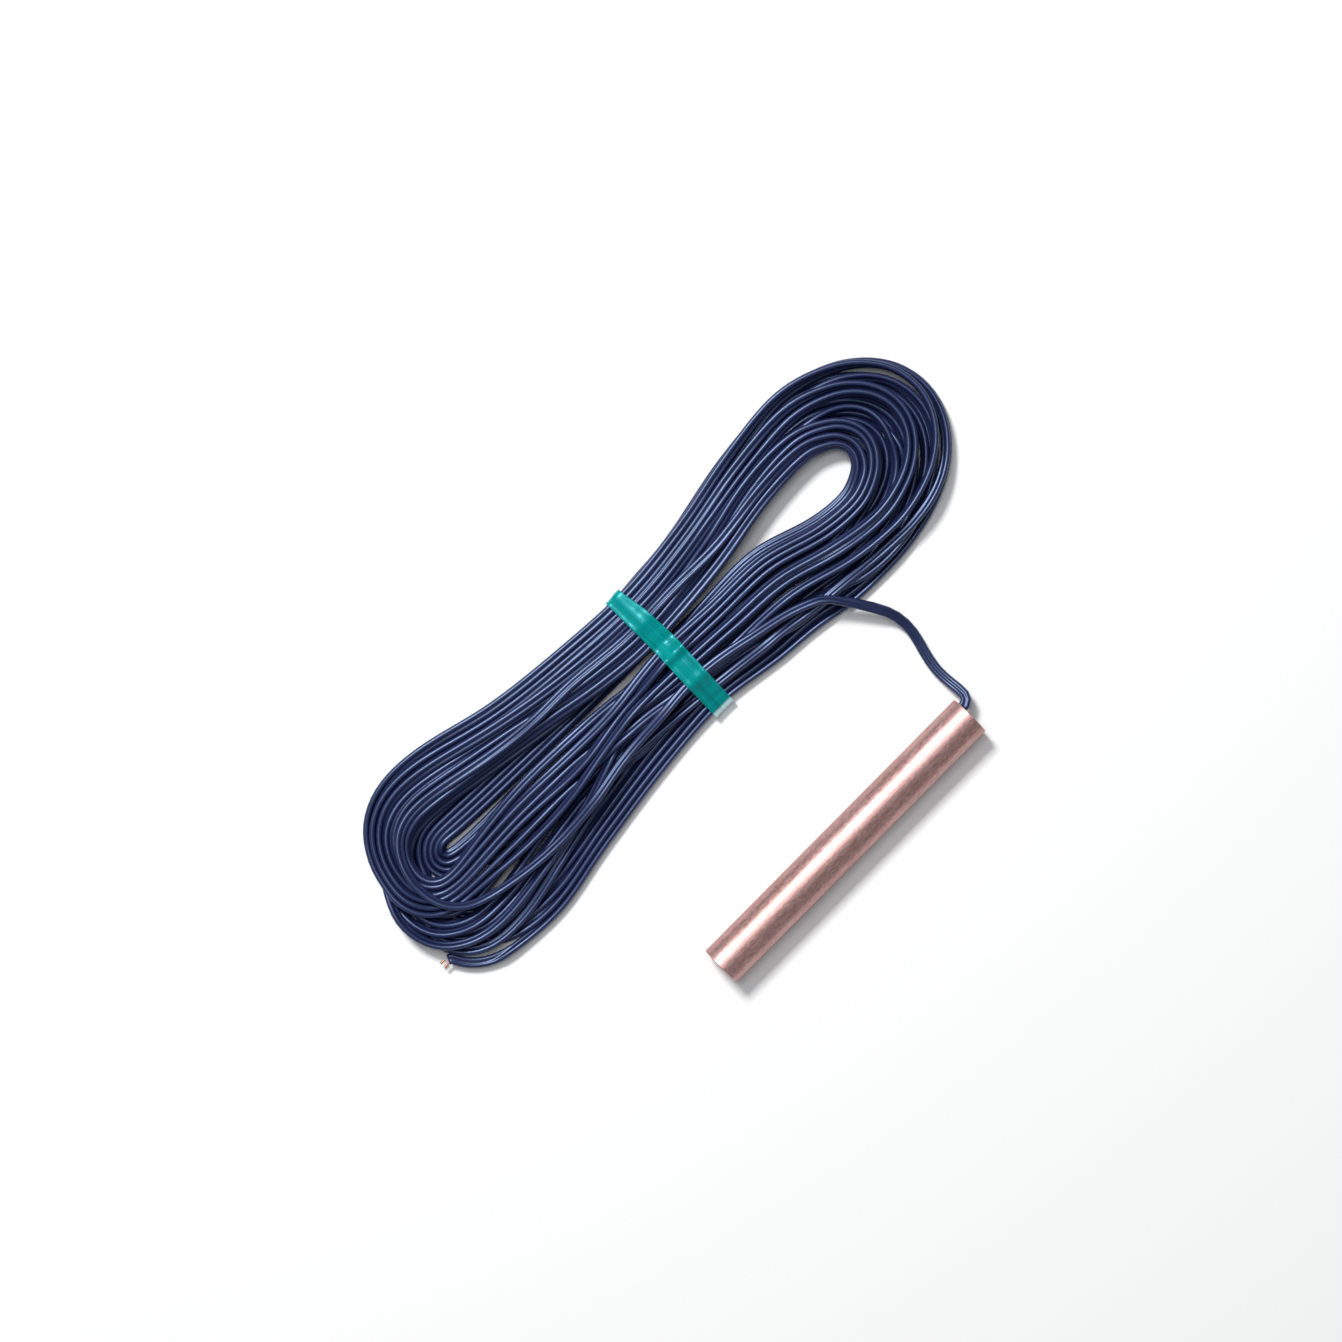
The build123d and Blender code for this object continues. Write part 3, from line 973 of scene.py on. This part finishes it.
@dataclass
class TieBand:
    """A flat film ring that is drawn tight round the waist of the hank."""

    lead: Lead
    low_y: float = 52.0
    high_y: float = 96.4
    # Distance up the band as a share, its middle in X and its width there, in millimetres.
    outline: tuple[tuple[float, float, float], ...] = (
        (0.00, 2.6, 7.0),
        (0.25, 3.0, 7.1),
        (0.55, 3.6, 7.2),
        (0.80, 3.4, 6.8),
        (1.00, 2.7, 5.4),
    )
    thickness: float = 0.22
    clearance: float = 0.3
    # Strands this far from the band's middle still hold it up.
    reach_x: float = 6.5
    # The least gap between the film and the floor.
    off_floor: float = 0.05
    string_steps: int = 720
    smoothing: int = 3
    steps_round: int = 200
    steps_across: int = 24
    # The dip between the halves of the hank, steep towards +Y and long towards -Y.
    dip: float = 2.1
    gap_y: float = 78.4
    gap_reach: float = 3.6
    slope_reach: float = 7.0
    drape: float = 0.35
    most_drape: float = 1.2
    # Where the band counts as its top, as a share of its height, how far in from the hank's sides
    # it starts to sag, and over what distance.
    top_from: float = 0.5
    sag_start: float = 1.5
    sag_ramp: float = 3.0
    # The fold that stands out at the low side.
    lip: float = 0.9
    lip_z: float = 3.4
    lip_reach: float = 2.2
    lip_below: float = 20.0
    # The curl of the edges and the lengthwise creases.
    curl: float = 0.18
    crease: float = 0.50
    crease_x: float = 4.0
    crease_pitch: float = 7.4
    crease_from: float = 0.4
    crease_ramp: float = 0.2

    def _discs(self) -> np.ndarray:
        """Returns the middles of the lead's lobes under the band, as (Y, Z) in millimetres."""
        reach = self.lead.section.core_pitch / 2
        spots = np.vstack([self.lead.wound + sign * reach * self.lead.wound_side for sign in (-1, 1)])
        middle = self.outline[2][1]
        return spots[np.abs(spots[:, 0] - middle) < self.reach_x][:, 1:]

    def _string(self, discs: np.ndarray, radius: float) -> np.ndarray:
        """Stretches a string round discs.

        Args:
            discs: the middles of the discs, as (Y, Z).
            radius: the distance that the string keeps from them.

        Returns:
            Evenly spaced points round the string, as (Y, Z).
        """
        angles = np.linspace(0, 2 * math.pi, self.string_steps, endpoint=False)
        facing = np.column_stack([np.cos(angles), np.sin(angles)])
        outermost = np.argmax(discs @ facing.T, axis=0)
        string = discs[outermost] + radius * facing
        string[:, 1] = np.maximum(string[:, 1], self.thickness / 2 + self.off_floor)
        closed = np.vstack([string, string[:1]])
        along = np.concatenate([[0], np.cumsum(np.linalg.norm(np.diff(closed, axis=0), axis=1) + 1e-6)])
        even = np.linspace(0, along[-1], self.steps_round, endpoint=False)
        return np.column_stack([np.interp(even, along, closed[:, axis]) for axis in range(2)])

    def _smoothed(self, ring: np.ndarray) -> np.ndarray:
        """Smooths the values round a closed ring."""
        for _ in range(self.smoothing):
            ring = (np.roll(ring, 1) + ring * 2 + np.roll(ring, -1)) / 4
        return ring

    def _loop(self) -> tuple[np.ndarray, np.ndarray]:
        """Draws the band round the lead and lets it dip between the halves of the hank.

        Returns:
            Points round the band as (Y, Z), and the outward direction at each.
        """
        discs = self._discs()
        radius = self.lead.section.lobe_diameter / 2 + self.clearance
        loop = self._string(discs, radius)
        on_top = loop[:, 1] > loop[:, 1].max() * self.top_from
        highest = np.array([self._top_of(discs, y, radius) for y in loop[:, 0]])
        sag = self.drape * np.clip(loop[:, 1] - self._smoothed(highest), 0, self.most_drape)
        reach = np.where(loop[:, 0] > self.gap_y, self.gap_reach, self.slope_reach)
        sag += self.dip * swell(loop[:, 0], self.gap_y, reach)
        inside = np.clip((loop[:, 0] - loop[:, 0].min() - self.sag_start) / self.sag_ramp, 0, 1)
        inside *= np.clip((loop[:, 0].max() - self.sag_start - loop[:, 0]) / self.sag_ramp, 0, 1)
        lowered = self._smoothed(np.maximum(loop[:, 1] - sag * inside, highest))
        loop[:, 1] = np.where(on_top, lowered, loop[:, 1])
        low_side = loop[:, 0] < self.gap_y - self.lip_below
        loop[low_side, 0] -= self.lip * swell(loop[low_side, 1], self.lip_z, self.lip_reach)
        ahead = unit(np.roll(loop, -1, axis=0) - np.roll(loop, 1, axis=0))
        return loop, np.column_stack([ahead[:, 1], -ahead[:, 0]])

    @staticmethod
    def _top_of(discs: np.ndarray, y: float, radius: float) -> float:
        """Returns the height of the highest lobe over one place across the hank."""
        reach = radius**2 - (discs[:, 0] - y) ** 2
        over = reach > 0
        return float((discs[over, 1] + np.sqrt(reach[over])).max()) if over.any() else 0.0

    def _sheet(self, loop: np.ndarray, outward: np.ndarray) -> bpy.types.Mesh:
        """Skins the band and gives it its thickness.

        Args:
            loop: points round the band, as (Y, Z).
            outward: the outward direction at each of them.

        Returns:
            The band's mesh, with a UV map that runs round it and across it.
        """
        share = np.clip((loop[:, 0] - self.low_y) / (self.high_y - self.low_y), 0, 1)
        shares, middles, widths = np.array(self.outline).T
        middle, width = np.interp(share, shares, middles), np.interp(share, shares, widths)
        sheet = bmesh.new()
        uv_layer = sheet.loops.layers.uv.new("along")
        rows = []
        on_top = np.clip((loop[:, 1] / loop[:, 1].max() - self.crease_from) / self.crease_ramp, 0, 1)
        for across in np.linspace(-0.5, 0.5, self.steps_across + 1):
            spots = middle + across * width
            crest = (1 + np.cos(2 * math.pi * (spots - self.crease_x) / self.crease_pitch)) / 2
            lift = self.curl * (2 * abs(across)) ** 6 + self.crease * crest * on_top
            flat = loop + outward * lift[:, None]
            rows.append([sheet.verts.new((x * MM, y * MM, z * MM)) for x, (y, z) in zip(spots, flat)])
        for number, (near, far) in enumerate(zip(rows, rows[1:])):
            for step in range(self.steps_round):
                following = (step + 1) % self.steps_round
                face = sheet.faces.new((near[step], far[step], far[following], near[following]))
                places = ((0, 0), (0, 1), (1, 1), (1, 0))
                for corner, (up, over) in zip(face.loops, places):
                    u, v = (step + up) / self.steps_round, (number + over) / self.steps_across
                    corner[uv_layer].uv = (u, v)
                face.smooth = True
        bmesh.ops.recalc_face_normals(sheet, faces=sheet.faces)
        bmesh.ops.solidify(sheet, geom=sheet.faces[:], thickness=self.thickness * MM)
        bmesh.ops.recalc_face_normals(sheet, faces=sheet.faces)
        mesh = bpy.data.meshes.new("tie")
        sheet.to_mesh(mesh)
        sheet.free()
        return mesh

    def build(self) -> bpy.types.Object:
        """Builds the band.

        Returns:
            The band.
        """
        loop, outward = self._loop()
        piece = bpy.data.objects.new("tie", self._sheet(loop, outward))
        show(piece, Finish.TIE)
        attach(piece, ROOT)
        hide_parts("tie_band")
        LOG.info("tie: %.1f mm high", loop[:, 1].max())
        return piece


# ---- Studio ----


@dataclass(frozen=True)
class Lamp:
    """One square area light: its place and size in metres, its power in watts and its colour."""

    name: str
    place: tuple[float, float, float]
    size: float
    power: float
    colour: Colour


@dataclass
class Studio:
    """The white floor, the lights and the camera."""

    middle: tuple[float, float] = (-0.0006, 0.0700)
    view_width: float = 0.3885
    focal: float = 85.0
    sensor: float = 36.0
    turn: float = -45.25
    floor_reach: float = 3.0
    floor_drop: float = 0.00005
    lamps: tuple[Lamp, ...] = (
        Lamp("key", (0.14, 0.96, 1.28), 0.30, 21.0, (1.0, 0.99, 0.98)),
        Lamp("overhead", (0.03, 0.34, 1.38), 0.50, 4.2, (0.97, 0.985, 1.0)),
    )
    surround: Colour = (0.96, 0.97, 1.0)
    surround_strength: float = 0.24

    def build(self) -> None:
        """Builds the floor, the lights and the camera."""
        self._floor()
        for lamp in self.lamps:
            self._hang(lamp)
        self._surround()
        self._camera()

    def _floor(self) -> None:
        """Lays the paper that the object lies on, a hair below it."""
        sheet = bmesh.new()
        bmesh.ops.create_grid(sheet, x_segments=1, y_segments=1, size=self.floor_reach)
        mesh = bpy.data.meshes.new("floor")
        bmesh.ops.translate(sheet, verts=sheet.verts, vec=(0, 0, -self.floor_drop))
        sheet.to_mesh(mesh)
        sheet.free()
        floor = bpy.data.objects.new("floor", mesh)
        bpy.context.scene.collection.objects.link(floor)
        mesh.materials.append(StudioPaper().build())

    def _hang(self, lamp: Lamp) -> None:
        """Hangs one light so that it faces the middle of the object."""
        light = bpy.data.lights.new(lamp.name, "AREA")
        light.size = lamp.size
        light.energy = lamp.power
        light.color = lamp.colour
        holder = bpy.data.objects.new(lamp.name, light)
        bpy.context.scene.collection.objects.link(holder)
        spot = Vector(lamp.place)
        aim = Vector((*self.middle, 0)) - spot
        holder.matrix_world = Matrix.Translation(spot) @ aim.to_track_quat("-Z", "Y").to_matrix().to_4x4()

    def _surround(self) -> None:
        """Puts an even pale surround behind everything and sets the plain view transform."""
        world = bpy.data.worlds.new("surround")
        world.use_nodes = True
        background = world.node_tree.nodes["Background"]
        background.inputs["Color"].default_value = (*self.surround, 1.0)
        background.inputs["Strength"].default_value = self.surround_strength
        bpy.context.scene.world = world
        bpy.context.scene.view_settings.view_transform = "Standard"

    def _camera(self) -> None:
        """Points a long lens straight down."""
        lens = bpy.data.cameras.new("camera")
        lens.lens = self.focal
        lens.sensor_width = self.sensor
        height = self.view_width * self.focal / self.sensor
        holder = bpy.data.objects.new("camera", lens)
        bpy.context.scene.collection.objects.link(holder)
        turned = Matrix.Rotation(math.radians(self.turn), 4, "Z")
        holder.matrix_world = Matrix.Translation((*self.middle, height)) @ turned
        bpy.context.scene.camera = holder


@dataclass
class Probe:
    """The sheath, every piece sealed in it, and the bare tails at the lead's far end."""

    pieces: dict[Finish, tuple[str, ...]]

    def dress(self) -> None:
        """Gives each piece its finish."""
        for finish, names in self.pieces.items():
            for name in names:
                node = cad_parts[name]
                node.data.materials.clear()
                node.data.materials.append(finish.material())
                LOG.info("%s: %s", name, finish.value.name)


def main() -> None:
    """Builds the object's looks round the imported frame."""
    logging.basicConfig(level=logging.INFO, format="%(message)s")
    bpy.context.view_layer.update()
    Probe(NODES_OF_FINISH).dress()
    section = LeadSection()
    lead = Lead(section, HankWinding(section))
    piece = lead.build()
    tie = TieBand(lead).build()
    Studio().build()


if __name__ == "__main__":
    main()
